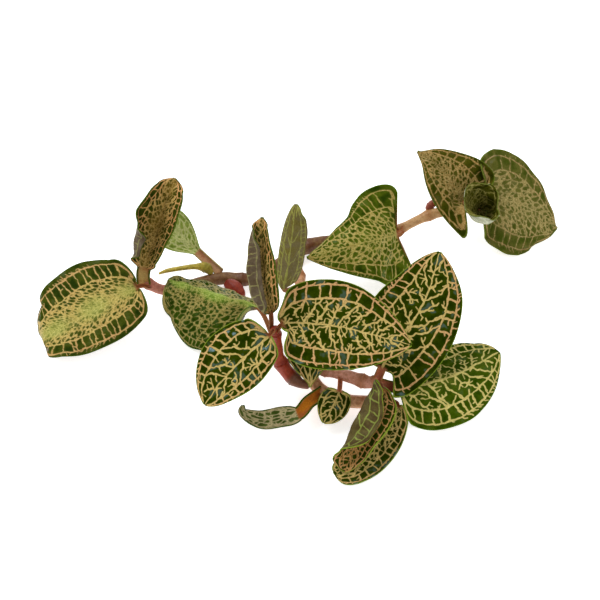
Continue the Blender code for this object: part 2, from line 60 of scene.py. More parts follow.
leaves = {
    "left_leaf": dict(
        spine=[(-62.8, 12.4, 13.4), (-66.3, 9.6, 16.5), (-78.5, 1.2, 16.5), (-90.3, -5.2, 13.5),
               (-99.5, -9, 10.5), (-103.7, -9, 7), (-102.5, -9.5, 2)],
        face=[(0, -0.5, 0.87), (0, -0.5, 0.87), (-0.2, -0.5, 0.8), (-0.95, -0.3, 0.3)],
        width=37, peak=(0.4, 0.45), blunt=0.42, sides=(0.86, 1.1), fold=(8, 4, 0),
        curl=(-16, -12, -10), lobe=(6, 4), wave=0.5, waves=3),
    "left_cupped_leaf": dict(
        spine=[(-63.7, 15.2, 14.6), (-63.4, 17.3, 19.5), (-58.3, 25.1, 31), (-54.3, 31.4, 42),
               (-50, 37.7, 51)],
        face=[(-0.1, -0.8, 0.5), (-0.15, -0.8, 0.5), (-0.15, -0.8, 0.5)], petiole=3.1, stalkCurl=50,
        width=35, peak=(0.43, 0.5), blunt=0.4, sides=(1.05, 0.84), taper=0.03, neck=0.04,
        leftFold=(20, 22, 28, 30, 20), leftCurl=(20, 25, 45, 50, 30), rollAt=0.42,
        leftRoll=(0, 110, 115, 40, 0, 0, 0), rightFold=(40, 44, 40, 30), rightCurl=(30, 30, 20, 10),
        wave=0.4, waves=2),
    "left_back_leaf": dict(
        spine=[(-34.2, 26.9, 7.3), (-42.9, 35.2, 9.5), (-53.5, 41.2, 19), (-62.4, 45.7, 27)],
        face=[(0, -0.7, 0.7)],
        petiole=2.3, stalkCurl=70, width=19, peak=0.56, blunt=1.05, sides=(1, 0.78),
        fold=(8, 6, 4), curl=(5,), wave=0.4, waves=2),
    "inner_folded_leaf": dict(
        spine=[(-9.7, -23.8, 21.2), (-16.6, -6.3, 22), (-29.9, -0.8, 22.5), (-44.2, 6.5, 21),
               (-53.5, 12, 18.5)],
        face=[(0, 0.1, 1), (0, 0.1, 1), (0, 0, 1)],
        width=38, peak=0.55, blunt=0.5, sides=(1.36, 0.6), leftFold=(-40, -42, -38),
        leftCurl=(-25, -28, -30), rightFold=(-20,), rightCurl=(-20,),
        sweep=1, taper=0.02, wave=0.5, waves=3),
    "centre_rolled_leaf": dict(
        spine=[(-11.2, -23.2, 33.2), (-11.3, -21.5, 38), (-13.3, -16.1, 48), (-14.2, -6.3, 57),
               (-14.3, 2.3, 66)],
        face=[(0.2, -0.65, 0.7), (0.2, -0.65, 0.7), (0.1, -0.65, 0.7)],
        width=28, peak=0.4, blunt=0.35, sides=(1.12, 0.74), taper=0.05, neck=0.04,
        leftFold=(10, 0, 0, 0, 0, 0, 0),
        leftCurl=(60, 20, 10, 10, 10, 10, 0), leftRoll=(0, 150, 165, 165, 160, 100, 0),
        rollAt=0.35, rightFold=(50, 60, 64, 66, 60), rightCurl=(30, 10, 10, 10, 0),
        wave=0.3, waves=2),
    "centre_back_leaf": dict(
        spine=[(-2, 16.6, 8.2), (-6.5, 12.1, 12), (-4.9, 17.6, 20), (-3.2, 25.1, 31),
               (-1.6, 32.9, 41)],
        face=[(0, 0.6, -0.4)],
        width=16, peak=0.4, blunt=0.42, sides=(1, 0.7), leftFold=(30, 30, 30, 20, -40),
        leftCurl=(20, 20, 20, 0, -60), rightFold=(30, 30, 20), rightCurl=(20, 20, 10),
        wave=0.3, waves=2),
    "centre_leaf": dict(
        spine=[(-7.9, -25.4, 33.3), (-6.6, -25.3, 35.5), (-2, -25, 36.3), (14, -28, 37.8),
               (28.4, -30.8, 35.8), (42.4, -32.4, 32)],
        face=[(0, -0.45, 0.89)],
        width=36, peak=0.36, blunt=0.45, sides=(1, 0.96), fold=(8, 4, 2), curl=(-8, -8, -5),
        lobe=(5, 5), wave=0.4, waves=3),
    "front_left_leaf": dict(
        spine=[(-10.3, -27.2, 33), (-11.6, -29.6, 34), (-21, -37.3, 30.5), (-30.2, -45, 24.5),
               (-36, -50.3, 18)],
        face=[(-0.3, -0.5, 0.8), (-0.3, -0.5, 0.8), (-0.35, -0.5, 0.8)],
        width=29, peak=0.42, blunt=0.47, sides=(0.76, 1.08), fold=(6, 6, 4), curl=(-20, -16, -8),
        lobe=(3, 3), wave=0.5, waves=2),
    "right_upright_leaf": dict(
        spine=[(30.4, -35.1, 15.9), (31.6, -32.6, 17.2), (34.1, -28.8, 20), (40.6, -22.5, 27),
               (45.2, -17.2, 31.5), (50, -8.8, 36.5), (54.6, 6.1, 42)],
        face=[(0, -0.55, 0.83), (0, -0.55, 0.83), (0.1, -0.55, 0.83)],
        width=36, peak=0.35, blunt=0.38, fold=(0, 2, 4), curl=(-6, -6, -4),
        lobe=(11, 13), lobeFade=18, petiole=2.2, stalkCurl=80, wave=0.4, waves=3),
    "right_low_leaf": dict(
        spine=[(31.6, -36.9, 12.7), (38.5, -37.2, 11), (52.8, -35.4, 13), (63.6, -30.6, 13),
               (78.7, -20.1, 12)],
        face=[(0, -0.25, 0.95), (0, -0.25, 0.95), (0, -0.2, 0.95)],
        width=37, peak=(0.42, 0.36), blunt=0.42, sides=(1.08, 1.02), leftFold=(-24, -28, -15),
        rightFold=(-26, -14, -11), curl=(-6, -6, -8), lobe=(2, 4), petiole=2.7, stalkCurl=55,
        wave=0.5, waves=3),
    "front_rolled_leaf": dict(
        spine=[(30.2, -38.5, 14.9), (30.9, -40.8, 16.5), (28.6, -46.8, 17), (25, -54.6, 15.5),
               (21.6, -60.4, 12), (19.7, -65.4, 8), (17, -71.4, 4)],
        face=[(0.25, -0.6, 0.75), (0.2, -0.6, 0.75), (0.1, -0.6, 0.8), (0, -0.6, 0.8)],
        width=30, peak=(0.35, 0.42), blunt=0.4, sides=(0.76, 1), leftFold=(5, 10, 15, 10),
        leftCurl=(60, 45, 45, 20), rightCurl=(20, 10, 10, 10, 5),
        rightRoll=(0, 110, 155, 150, 70, 0), rollAt=0.1, neck=0.03, wave=0.3, waves=2),
    "front_under_leaf": dict(
        spine=[(36.2, -41, 6.5), (37.4, -45.6, 10.2), (33.2, -53, 9), (27.1, -60.4, 5.5),
               (19, -67.4, 3.5), (12.5, -70.6, 3.5)],
        face=[(0, -0.3, 0.9)],
        width=16, peak=(0.55, 0.45), blunt=0.42, sides=(1.25, 1), fold=(8, 4, 2), curl=(5,),
        wave=0.5, waves=3),
    "small_twisted_leaf": dict(
        spine=[(7.6, -38.1, 8), (3.5, -42, 8.5), (-0.8, -47.7, 8.5), (-7.7, -48.8, 8),
               (-14.7, -49.1, 6.5), (-21.7, -46.2, 7), (-22.1, -43.8, 9)],
        base=2, face=[(0, -0.6, 0.8), (0, -0.5, 0.8), (0, -0.3, 0.9)], petiole=3.1, stalkCurl=60,
        width=7, peak=0.4, blunt=0.42, fold=(10, 10, 5), curl=(10,), wave=0.5, waves=2),
    "small_heart_leaf": dict(
        spine=[(15.6, -34, 11.4), (15.1, -39, 11), (12.4, -45.2, 9), (9.1, -50.2, 6)],
        face=[(0, -0.6, 0.8)],
        width=12.5, peak=0.4, blunt=0.42, fold=(-4,), curl=(-10,), lobe=(2, 2),
        wave=0.2, waves=2),
    "small_hidden_leaf": dict(
        spine=[(2, -14.6, 10), (2.8, -20, 14.5), (3.5, -26.2, 16), (3.9, -33.3, 15),
               (3.9, -37.6, 12)],
        face=[(0, -0.6, 0.8)],
        width=21, peak=0.34, blunt=0.42, taper=0.2, fold=(2,), wave=0.2, waves=2),
    "back_heart_leaf": dict(
        spine=[(43.2, 46.9, 10.4), (40.9, 41.8, 13.2), (28.8, 30, 22), (16.4, 27, 20.5),
               (2.9, 27.8, 14)],
        face=[(0.6, -0.4, 0.5), (0.1, -0.55, 0.8), (0, -0.55, 0.8)],
        width=44, peak=(0.12, 0.11), blunt=0.12, sides=(0.94, 1), stalkCurl=35,
        leftCurl=(-10,), rightFold=(0, -8, -8), rightCurl=(-10, -32, -36),
        lobe=(-8, 0), lobeFade=10, wave=0.5, waves=3),
    "far_twisted_leaf": dict(
        spine=[(71.7, 55.1, 15.6), (69.5, 54.8, 20.4), (63.2, 58.6, 28), (56.2, 65.2, 33),
               (49.7, 70.2, 34)],
        face=[(0.47, -0.57, 0.68), (-0.1, -0.6, 0.7), (0, -0.6, 0.7)],
        width=30, peak=(0.24, 0.2), blunt=0.3, sides=(0.78, 1.12), fold=(10, 5, 0),
        curl=(10, 5, 0), lobe=(27, 4), wave=0.5, waves=3),
    "far_round_leaf": dict(
        spine=[(74.2, 59.9, 14.6), (80.6, 58, 18.6), (89, 56.8, 17.5), (98.5, 56.5, 13.3),
               (105.5, 55.8, 8.7), (110.8, 53.5, 4.5)],
        face=[(0.08, -0.8, 0.6), (0.2, -0.55, 0.75), (0.4, -0.5, 0.7)],
        width=45, peak=(0.2, 0.42), blunt=0.33, sides=(0.94, 0.97), curl=(-5,),
        lobe=(11, 4), lobeFade=14, wave=0.5, waves=4),
    "far_young_leaf": dict(
        spine=[(73.2, 56.2, 18), (75, 52.2, 17.8), (73, 47, 21), (69.6, 44, 27), (67.6, 43, 34)],
        face=[(1, 0, 0.1), (1, 0, 0.1), (1, -0.1, 0.2)],
        width=40, peak=0.5, blunt=0.5, neck=0.05, petiole=2.4, stalkCurl=178,
        curl=(180, 184, 176, 136, 96, 52), wave=0.1, waves=2),
}

# How each blade is netted. The loops are the long veins at these shares of the half width, the bars
# are the rungs between the outermost loop and the margin vein, and twigs end free in the cells.
nets = {
    "open": dict(
        loops=(0.56,), margin=0.86, bar=3.6, sides=6, rise=0.17, whole=0.85, twig=2.3, twigLength=3.4,
        depth=1, gap=1.45, join=0.1, midrib=1.0, main=0.74, fineVein=0.55, glow=0.12, glowReach=0.3,
        warm=0.5),
    "medium": dict(
        loops=(0.58,), margin=0.89, bar=4.4, sides=9, rise=0.12, whole=0.85, twig=1.5, twigLength=2.6,
        depth=1, gap=1.08, join=0.3, midrib=0.75, main=0.78, fineVein=0.52, glow=0.14, glowReach=0.35,
        warm=0.62),
    "dense": dict(
        loops=(0.58,), margin=0.87, bar=2.9, sides=7, rise=0.2, whole=0.6, twig=2.6, twigLength=1.6,
        depth=0, gap=1.0, join=0.2, midrib=0.6, main=0.55, fineVein=0.4, glow=0.75, glowReach=0.42,
        warm=0.3, cells=(1.0, 2.2), netVein=0.3, netLimit=0.6, stretch=0.42, slant=0.6),
    "small": dict(
        loops=(0.66,), margin=0.97, bar=6, sides=4, rise=0.24, whole=0.9, twig=2.6, twigLength=1.6,
        depth=0, gap=1.1, join=0.1, midrib=0.75, main=0.6, fineVein=0.45, glow=0.2, glowReach=0.4,
        warm=0.5),
}
# Which net and finish each blade has, and what it changes. The net is dense where none is named.
blades = {
    "left_leaf": dict(
        finish="gold", glow=0.95, glowReach=0.3, warm=0.5, loops=(0.5,), margin=0.85, netLimit=0.52,
        cells=(0.8, 1.8), bar=2.5, main=0.62),
    "left_cupped_leaf": dict(
        finish="bronze", glow=0.9, warm=0.85, petiole="#b59a5c", cells=(1.0, 2.8), stretch=0.6),
    "left_back_leaf": dict(finish="pale", glow=0.4, warm=0.05, petiole="#b08a66"),
    "inner_folded_leaf": dict(
        finish="hanging", glow=1.0, glowReach=0.14, cells=(0.9, 2.9), netVein=0.32, bar=2.4,
        loops=(0.84,), margin=0.94, netLimit=0.86, sides=5),
    "centre_rolled_leaf": dict(finish="bronze", glow=0.6, warm=0.9, netVein=0.24),
    "centre_back_leaf": dict(finish="back", glow=0.5, warm=0.1, bar=2.2),
    "centre_leaf": dict(net="medium", finish="deep", shine=1.0, spacing=0.27),
    "front_left_leaf": dict(net="open", finish="deep", shine=1.0, warm=0.45, spacing=0.27),
    "right_upright_leaf": dict(
        net="open", finish="deep", shine=1.0, sides=8, warm=0.6, petiole="#b87456", spacing=0.27),
    "right_low_leaf": dict(
        net="open", finish="fresh", bar=2.6, sides=8, warm=0.25, glow=0.35, petiole="#b87456",
        spacing=0.29),
    "front_rolled_leaf": dict(
        finish="flap", underPatch="#6c6432", glow=0.1, warm=0.8, petiole="#b98a6c", cells=(1.8, 2.4),
        stretch=0.8, slant=0.3, netVein=0.42, spacing=0.3),
    "front_under_leaf": dict(
        finish="deep", shine=1.0, glow=0.1, warm=0.4, cells=(1.6, 2.2), stretch=0.8, slant=0.3,
        spacing=0.3),
    "small_twisted_leaf": dict(
        finish="silver", glow=0.2, petiole="#b8701e", bar=5, cells=(2.0, 2.2), stretch=0.34, slant=0.0,
        netLimit=0.9, sides=3, main=0.4, loops=(0.75,), margin=0.9, spacing=0.25),
    "small_heart_leaf": dict(
        net="small", finish="deep", shine=1.0, petiole="#c07a58", spacing=0.25, warm=0.1),
    "small_hidden_leaf": dict(
        net="small", finish="deep", shine=1.0, spacing=0.27, loops=(0.33, 0.68), sides=3, twig=5),
    "back_heart_leaf": dict(
        finish="lime", glow=0.5, warm=0.4, bar=3.2, cells=(1.7, 3.2), stretch=0.6, netVein=0.42),
    "far_twisted_leaf": dict(
        finish="tawny", glow=0.6, warm=0.7, cells=(1.1, 2.4), stretch=0.55, netVein=0.36),
    "far_round_leaf": dict(
        finish="far", glow=0.45, warm=0.5, bar=3.6, cells=(1.6, 3.1), stretch=0.55, netVein=0.44),
    "far_young_leaf": dict(finish="olive", glow=0.5, warm=0.2, netVein=0.2),
}
# Blade colours: the dark green of the cells and of their edges, the veins from tan to pinkish tan near
# the margin, the lime by the midrib, the rim, and the underside with its large veins
leafParts = ("cell", "cellEdge", "vein", "warmVein", "lime", "rim", "under", "rib")
finishes = {
    "deep": ("#1c2a00", "#303e02", "#bba25a", "#bf8d5c", "#a8a048", "#76882a", "#5b4b3c", "#8a9a56"),
    "fresh": ("#263e02", "#405408", "#c2b364", "#c39c60", "#a8a84c", "#5c7a16", "#5b4b3c", "#8a9a56"),
    "bronze": ("#1c2a04", "#38400c", "#b4924c", "#c48c52", "#8c6e28", "#4a5a18", "#50402a", "#8c8652"),
    "olive": ("#343606", "#4a4a0c", "#6f6a22", "#7c6c2c", "#55540e", "#6a7030", "#b0b498", "#c6caae"),
    "gold": ("#22320a", "#434c12", "#b89e52", "#bd8a58", "#a2a64e", "#4b5e1a", "#665448", "#9a8e66"),
    "hanging": ("#1a2e02", "#34470a", "#887c3a", "#9e8042", "#88a63c", "#4c661a", "#5e5a34", "#98a24a"),
    "tawny": ("#2c3404", "#4a480e", "#8c723a", "#9c7a40", "#5a4e12", "#56641c", "#7a7638", "#a09c50"),
    "lime": ("#273a06", "#4e5c10", "#a09044", "#a8864a", "#7c8028", "#5c7a1c", "#5e5a34", "#98a24a"),
    "far": ("#404a12", "#605e28", "#8c7c44", "#987648", "#7c7440", "#66722a", "#7a7638", "#a09c50"),
    "silver": ("#2c3c0c", "#54622a", "#b0a276", "#b89880", "#a8a07c", "#3c520c", "#7a7050", "#b0a880"),
    "flap": ("#1c2a00", "#303e02", "#a8783c", "#b5824a", "#8a7a38", "#7c8c2c", "#463614", "#86923e"),
    "pale": ("#5a7020", "#8e9e4a", "#b0b874", "#b4b070", "#b4bc74", "#8a9c50", "#8a8c50", "#b0b878"),
    "back": ("#39480c", "#5c5e1c", "#958448", "#a27c4c", "#857e3c", "#6a7626", "#6c6228", "#969648"),
}

stems = {
    "creeping_stem": [
        (-52.5, 15.8, 7.3, 2.1), (-45.7, 19.6, 6, 2.3), (-32.6, 24.4, 5, 2.6), (-21.3, 24, 5, 2.4),
        (-13.4, 28.5, 5, 2.3), (3.8, 42.7, 5, 2.8), (19.2, 45.6, 5.3, 2.6), (32.1, 47.5, 6, 2.3),
        (41.5, 48.3, 8.2, 2.2)],
    "left_shoot": [
        (-53.6, 15.3, 7.9, 1.9), (-57.6, 14.7, 9.5, 2.1), (-61.2, 15.2, 11.5, 2.2),
        (-62.8, 15.1, 13, 2.2)],
    "far_shoot": [
        (42.5, 48.7, 8.7, 1.9), (53.5, 53.9, 11, 2), (62, 55.5, 13, 2.2), (71.8, 57.6, 14, 2.2)],
    "front_stem": [
        (-2.9, 33.3, 5, 1.9), (-0.7, 28, 5.2, 2), (0.3, 17.2, 6, 2.2), (1.2, -4.9, 7, 2.2),
        (3.6, -24.3, 7, 2.4), (7.8, -34.6, 7, 2.6), (17.6, -39.2, 6, 2.6), (25.3, -40.2, 6, 2.5),
        (34.2, -39.4, 5, 2.4)],
    "centre_shoot": [
        (3.1, -33.4, 8, 1.5), (-0.5, -32.3, 8.3, 2), (-4.9, -28.9, 10.5, 2.7), (-8, -26.9, 16, 2.2),
        (-8.6, -25.9, 22, 2), (-9.6, -24.9, 32.5, 1.8)],
    "right_shoot": [
        (7.4, -27.4, 10.3, 2), (12, -29, 11, 2.2), (19.5, -32.5, 12, 2.4), (26.4, -35.7, 13, 2.2),
        (29.5, -36.2, 14.5, 2)],
    "red_bud": [
        (-30, 20.8, 6.3, 1.6), (-28.2, 18.8, 6.3, 3.1), (-26.2, 16.6, 6, 3.2), (-24, 14.4, 5.6, 2.1)],
    "pale_root": [(-23.9, 14.5, 5.4, 0.8), (-21, 12.2, 4.4, 0.8), (-17.8, 10.7, 3.4, 0.5)],
    "young_root": [
        (-37.4, 25.5, 7.4, 1.2), (-39.4, 26.9, 9, 1.9), (-43.7, 26.6, 10, 1.2), (-48.7, 25.8, 10, 1),
        (-54.9, 24.8, 9.5, 0.9), (-57.9, 24.8, 8, 0.5)],
    "far_bud": [(55, 57, 12.8, 1.4), (56.8, 58.7, 14.2, 1.6), (59.8, 59.9, 15.6, 0.4)],
}
# Stem colours: the flesh and the darker skin towards the nodes. The nodes lie at these shares of the
# length and swell by this share of the radius.
stemFinishes = {
    "creeping_stem": dict(flesh="#7c5a34", skin="#5c3018", nodes=(0.03, 0.3, 0.62, 0.97), swell=0.22),
    "left_shoot": dict(flesh="#c4806a", skin="#a05a48", nodes=(0.1, 0.9), swell=0.2),
    "far_shoot": dict(flesh="#c09868", skin="#9c6c3e", nodes=(0.05, 0.45, 0.93), swell=0.25),
    "front_stem": dict(flesh="#d29c74", skin="#94582e", nodes=(0.1, 0.45, 0.8, 0.95), swell=0.3),
    "centre_shoot": dict(
        flesh="#a64022", skin="#862812", nodes=(0.2, 0.45, 0.9), swell=0.28, foot="#6e4a34",
        footLength=10),
    "right_shoot": dict(flesh="#dc9c84", skin="#aa6c46", nodes=(0.15, 0.75, 0.97), swell=0.28),
    "red_bud": dict(flesh="#8c3520", skin="#701c0e", nodes=(0.1,), swell=0.1),
    "pale_root": dict(flesh="#d0a878", skin="#a87c4c", nodes=(0.1,), swell=0.05),
    "young_root": dict(flesh="#bda844", skin="#7c701e", nodes=(0.14,), swell=0.25),
    "far_bud": dict(flesh="#a8604a", skin="#7c3826", nodes=(0.3,), swell=0.1),
}


def smoothPath(points, samples=form["pathSamples"]):
    # a smooth curve through the points, sampled at even steps, and its length
    points = np.asarray(points, float)
    ends = np.vstack([2 * points[0] - points[1], points, 2 * points[-1] - points[-2]])
    pieces = []
    for before, here, after, beyond in zip(ends[:-3], ends[1:-2], ends[2:-1], ends[3:]):
        t = np.linspace(0, 1, form["curveSteps"], endpoint=False)[:, None]
        pieces.append(0.5 * (2 * here + (after - before) * t
                             + (2 * before - 5 * here + 4 * after - beyond) * t ** 2
                             + (3 * here - before - 3 * after + beyond) * t ** 3))
    curve = np.vstack(pieces + [points[-1:]])
    length = np.concatenate([[0], np.cumsum(np.linalg.norm(np.diff(curve[:, :3], axis=0), axis=1))])
    even = np.linspace(0, length[-1], samples)
    return np.stack([np.interp(even, length, column) for column in curve.T], axis=1), length[-1]


def along(values, where):
    # values spread evenly from 0 to 1 and eased from one to the next
    values = np.asarray(values, float)
    if len(values) == 1:
        return np.full(len(where), values[0])
    scaled = np.clip(where, 0, 1) * (len(values) - 1)
    index = np.minimum(scaled.astype(int), len(values) - 2)
    t = scaled - index
    t = t * t * (3 - 2 * t)
    return values[index] * (1 - t) + values[index + 1] * t


def unit(vectors):
    return vectors / np.maximum(np.linalg.norm(vectors, axis=-1, keepdims=True), 1e-9)


def sideOf(v):
    return np.where(v < 0, -1.0, 1.0)


def smoothStep(low, high, x):
    t = np.clip((x - low) / (high - low), 0, 1)
    return t * t * (3 - 2 * t)


def spineOf(leaf):
    # the first point is moved back, so that the stalk clasps its stem
    first, second = (np.array(point, float) for point in leaf["spine"][:2])
    root = first + (first - second) / np.linalg.norm(first - second) * fine["clasp"]
    path, length = smoothPath([tuple(root)] + leaf["spine"][1:])
    tangent = unit(np.gradient(path, axis=0))
    where = np.linspace(0, 1, len(path))
    hint = np.stack([along(column, where) for column in np.array(leaf["face"], float).T], axis=1)
    normal = unit(hint - (hint * tangent).sum(1, keepdims=True) * tangent)
    base = np.array(leaf["spine"][leaf.get("base", 1)], float)
    start = np.argmin(np.linalg.norm(path - base, axis=1)) / (len(path) - 1)
    return path, tangent, normal, np.cross(tangent, normal), length, start


def halfWidth(leaf, u, side):
    # the blade is widest at its peak, and its ends are as full as the blunt power leaves them
    peak = np.where(side < 0, *np.broadcast_to(leaf["peak"], 2))
    inside = np.clip(u, 0, 1)
    share = (inside / peak) ** leaf["blunt"]
    share = share * ((1 - inside) / (1 - peak)) ** (leaf["blunt"] * (1 - peak) / peak)
    share = share * (1 - inside) / (1 - inside + leaf.get("taper", 0) + 1e-9)
    share = share * inside / (inside + leaf.get("neck", 0) + 1e-9)
    scale = np.where(side > 0, leaf.get("sides", (1, 1))[1], leaf.get("sides", (1, 1))[0])
    stalk = leaf.get("petiole", form["petioleHalf"]) * (1 - inside) + form["tipHalf"] * inside
    return np.hypot(leaf["width"] / 2 * scale * share, stalk)


def sideValues(leaf, what, u, side):
    # fold, curl or roll in degrees, for both halves or for each
    shared = leaf.get(what, (0,))
    left = along(leaf.get("left" + what.capitalize(), shared), u)
    right = along(leaf.get("right" + what.capitalize(), shared), u)
    return np.radians(np.where(side < 0, left, right))


def lobeBack(leaf, u, v):
    # how far the two lobes reach back past the base
    inside = np.clip(u, 0, 1)
    lobe = np.where(v < 0, *leaf.get("lobe", (0, 0)))
    fade = smoothStep(0, 1 / leaf.get("lobeFade", form["lobeFade"]), u)
    return lobe * v ** 2 * (1 - inside) ** form["lobePower"] * fade


def sweepAhead(leaf, u, v):
    # how far the sides run ahead near the tip
    inside = np.clip(u, 0, 1)
    fade = np.clip((1 - inside) * form["tipFade"], 0, 1)
    return leaf.get("sweep", 0) * v ** 2 * inside ** form["lobePower"] * fade


def leafPoints(leaf, s, v):
    # the middle surface at s along the spine and v across it
    path, tangent, normal, sideways, _, start = spineOf(leaf)
    u = (s - start) / (1 - start)
    inside = np.clip(u, 0, 1)
    where = np.linspace(0, 1, len(path))
    at = [np.stack([np.interp(s, where, column) for column in table.T], axis=1)
          for table in (path, tangent, normal, sideways)]
    side = sideOf(v)
    stalk = np.clip(1 - u * form["stalkFade"], 0, 1)
    blade = (1 - stalk) * np.clip((1 - inside) * form["tipFade"], 0, 1)
    gutter = math.radians(leaf.get("stalkCurl", form["petioleCurl"]))
    out = np.linspace(0, 1, form["arcSteps"])[None, :] * np.abs(v)[:, None]
    turned = np.clip((out - leaf.get("rollAt", 0)) / form["rollSpan"], 0, 1)
    angle = ((sideValues(leaf, "fold", u, side) * blade)[:, None]
             + (sideValues(leaf, "curl", u, side) * blade + gutter * stalk)[:, None] * out
             + (sideValues(leaf, "roll", u, side) * blade)[:, None] * turned ** 2 * (3 - 2 * turned))
    reach = halfWidth(leaf, u, side) * np.abs(v)
    across = reach * np.cos(angle).mean(axis=1)
    lift = reach * np.sin(angle).mean(axis=1)
    ripple = np.sin(2 * math.pi * leaf["waves"] * inside + side)
    lift = lift + leaf["wave"] * v ** 2 * ripple * np.clip(u * form["rippleFade"], 0, 1)
    first, last = (int((start + share * (1 - start)) * (len(path) - 1)) for share in (0, form["lobeWay"]))
    way = unit((path[last] - path[first])[None, :])
    return (at[0] + at[3] * (side * across)[:, None] + at[2] * lift[:, None]
            + at[1] * sweepAhead(leaf, u, v)[:, None] - way * lobeBack(leaf, u, v)[:, None])


def flatPlace(leaf, length, u, v):
    # where a point of the blade lies when the blade is pressed flat, in mm
    x = u * length - lobeBack(leaf, u, v) + sweepAhead(leaf, u, v)
    return x, v * halfWidth(leaf, u, sideOf(v))


# How a single vein runs: its points stand a step apart, it wobbles in three waves, and its width
# swings between limits. A twig turns at random at each of its own steps. It starts only where the
# place a look ahead is free, ends where it touches a vein, and is left alone until it has gone off.
veinForm = {"step": 0.15, "waves": (1.7, 3.1, 6.3), "waveShare": 6, "swing": 0.16,
            "swingLimits": (0.75, 1.25), "twigStep": 0.25, "twigTurn": 0.2, "look": 1.25, "free": 0.8,
            "goneOff": 1.4, "touch": 0.2, "twigWobble": 0.06, "twigEnd": 0.8, "twigStart": (0.3, 1.0),
            "twigAngle": (0.65, 1.3), "twigLength": (0.5, 1.4), "twigGap": (0.6, 1.4),
            "forkStart": (0.5, 1.1), "forkAngle": (0.7, 1.3), "forkLength": (0.35, 0.7),
            "forkWidth": 0.9, "forkGap": (0.6, 1.1), "twigStop": 0.3, "forkStop": 0.2}


def wander(count, rng, size):
    # a gentle wobble along a vein
    t = np.arange(count) * veinForm["step"]
    total = np.zeros(count)
    for wave in veinForm["waves"]:
        total += np.sin(t * 2 * math.pi / wave + rng.uniform(0, 7)) * size * wave / veinForm["waveShare"]
    return total


def resample(x, y):
    length = np.concatenate([[0], np.cumsum(np.hypot(np.diff(x), np.diff(y)))])
    count = max(int(length[-1] / veinForm["step"]), 2)
    even = np.linspace(0, length[-1], count)
    return np.interp(even, length, x), np.interp(even, length, y)


def addVein(veins, x, y, width, end, rng, main, wobble):
    # main veins also show on the underside
    x, y = resample(np.asarray(x), np.asarray(y))
    if len(x) < 3:
        return x, y
    dx, dy = np.gradient(x), np.gradient(y)
    size = np.maximum(np.hypot(dx, dy), 1e-6)
    ease = np.sin(np.linspace(0, math.pi, len(x))) ** 0.5
    shift = wander(len(x), rng, wobble) * ease
    x, y = x - dy / size * shift, y + dx / size * shift
    swing = 1 + veinForm["swing"] * wander(len(x), rng, 1)
    half = np.linspace(width, end, len(x)) / 2 * np.clip(swing, *veinForm["swingLimits"])
    veins.append((x, y, half, main))
    return x, y


def keep(field, x, y):
    # notes where a vein runs, so that later ones stay clear of it
    count = field["count"]
    field["places"][count:count + len(x)] = np.stack([x, y], axis=1)
    field["count"] = count + len(x)


def clearance(field, x, y):
    # how far the nearest vein is
    places = field["places"][:field["count"]]
    return np.sqrt(((places - (x, y)) ** 2).sum(axis=1).min())


def growTwig(veins, field, x, y, heading, length, width, depth, gap, rng, join):
    # a vein that wanders into a free cell and ends there, with twigs of its own
    look = veinForm["look"] * gap
    if clearance(field, x + look * math.cos(heading), y + look * math.sin(heading)) < gap * veinForm["free"]:
        return
    xs, ys, gone = [x], [y], 0.0
    joining = rng.random() < join
    while gone < length:
        heading += rng.gauss(0, veinForm["twigTurn"])
        x += veinForm["twigStep"] * math.cos(heading)
        y += veinForm["twigStep"] * math.sin(heading)
        gone += veinForm["twigStep"]
        if gone > veinForm["goneOff"] * gap:
            room = clearance(field, x, y)
            if room < veinForm["touch"] or (room < gap and not joining):
                break
        xs.append(x)
        ys.append(y)
    x, y = addVein(veins, xs, ys, width, width * veinForm["twigEnd"], rng, False, veinForm["twigWobble"])
    headings = np.arctan2(np.gradient(y), np.gradient(x))
    keep(field, x, y)
    if depth:
        spot = rng.uniform(*veinForm["forkStart"])
        while spot < gone - veinForm["forkStop"]:
            index = min(int(spot / veinForm["step"]), len(x) - 1)
            turn = rng.choice((-1, 1)) * rng.uniform(*veinForm["forkAngle"])
            growTwig(veins, field, x[index], y[index], headings[index] + turn,
                     length * rng.uniform(*veinForm["forkLength"]), width * veinForm["forkWidth"], depth - 1,
                     gap, rng, join / 2)
            spot += gap * rng.uniform(*veinForm["forkGap"])


def fillWithTwigs(veins, field, line, plan, rng, sides):
    # twigs all along a vein, on the sides that face the cells
    x, y = line
    if len(x) < 4:
        return
    headings = np.arctan2(np.gradient(y), np.gradient(x))
    spot = rng.uniform(*veinForm["twigStart"])
    while spot < veinForm["step"] * len(x) - veinForm["twigStop"]:
        index = min(int(spot / veinForm["step"]), len(x) - 1)
        for side in sides:
            turn = side * rng.uniform(*veinForm["twigAngle"])
            growTwig(veins, field, x[index], y[index], headings[index] + turn,
                     plan["twigLength"] * rng.uniform(*veinForm["twigLength"]), plan["fineVein"],
                     plan["depth"], plan["gap"], rng, plan["join"])
        spot += plan["twig"] * rng.uniform(*veinForm["twigGap"])


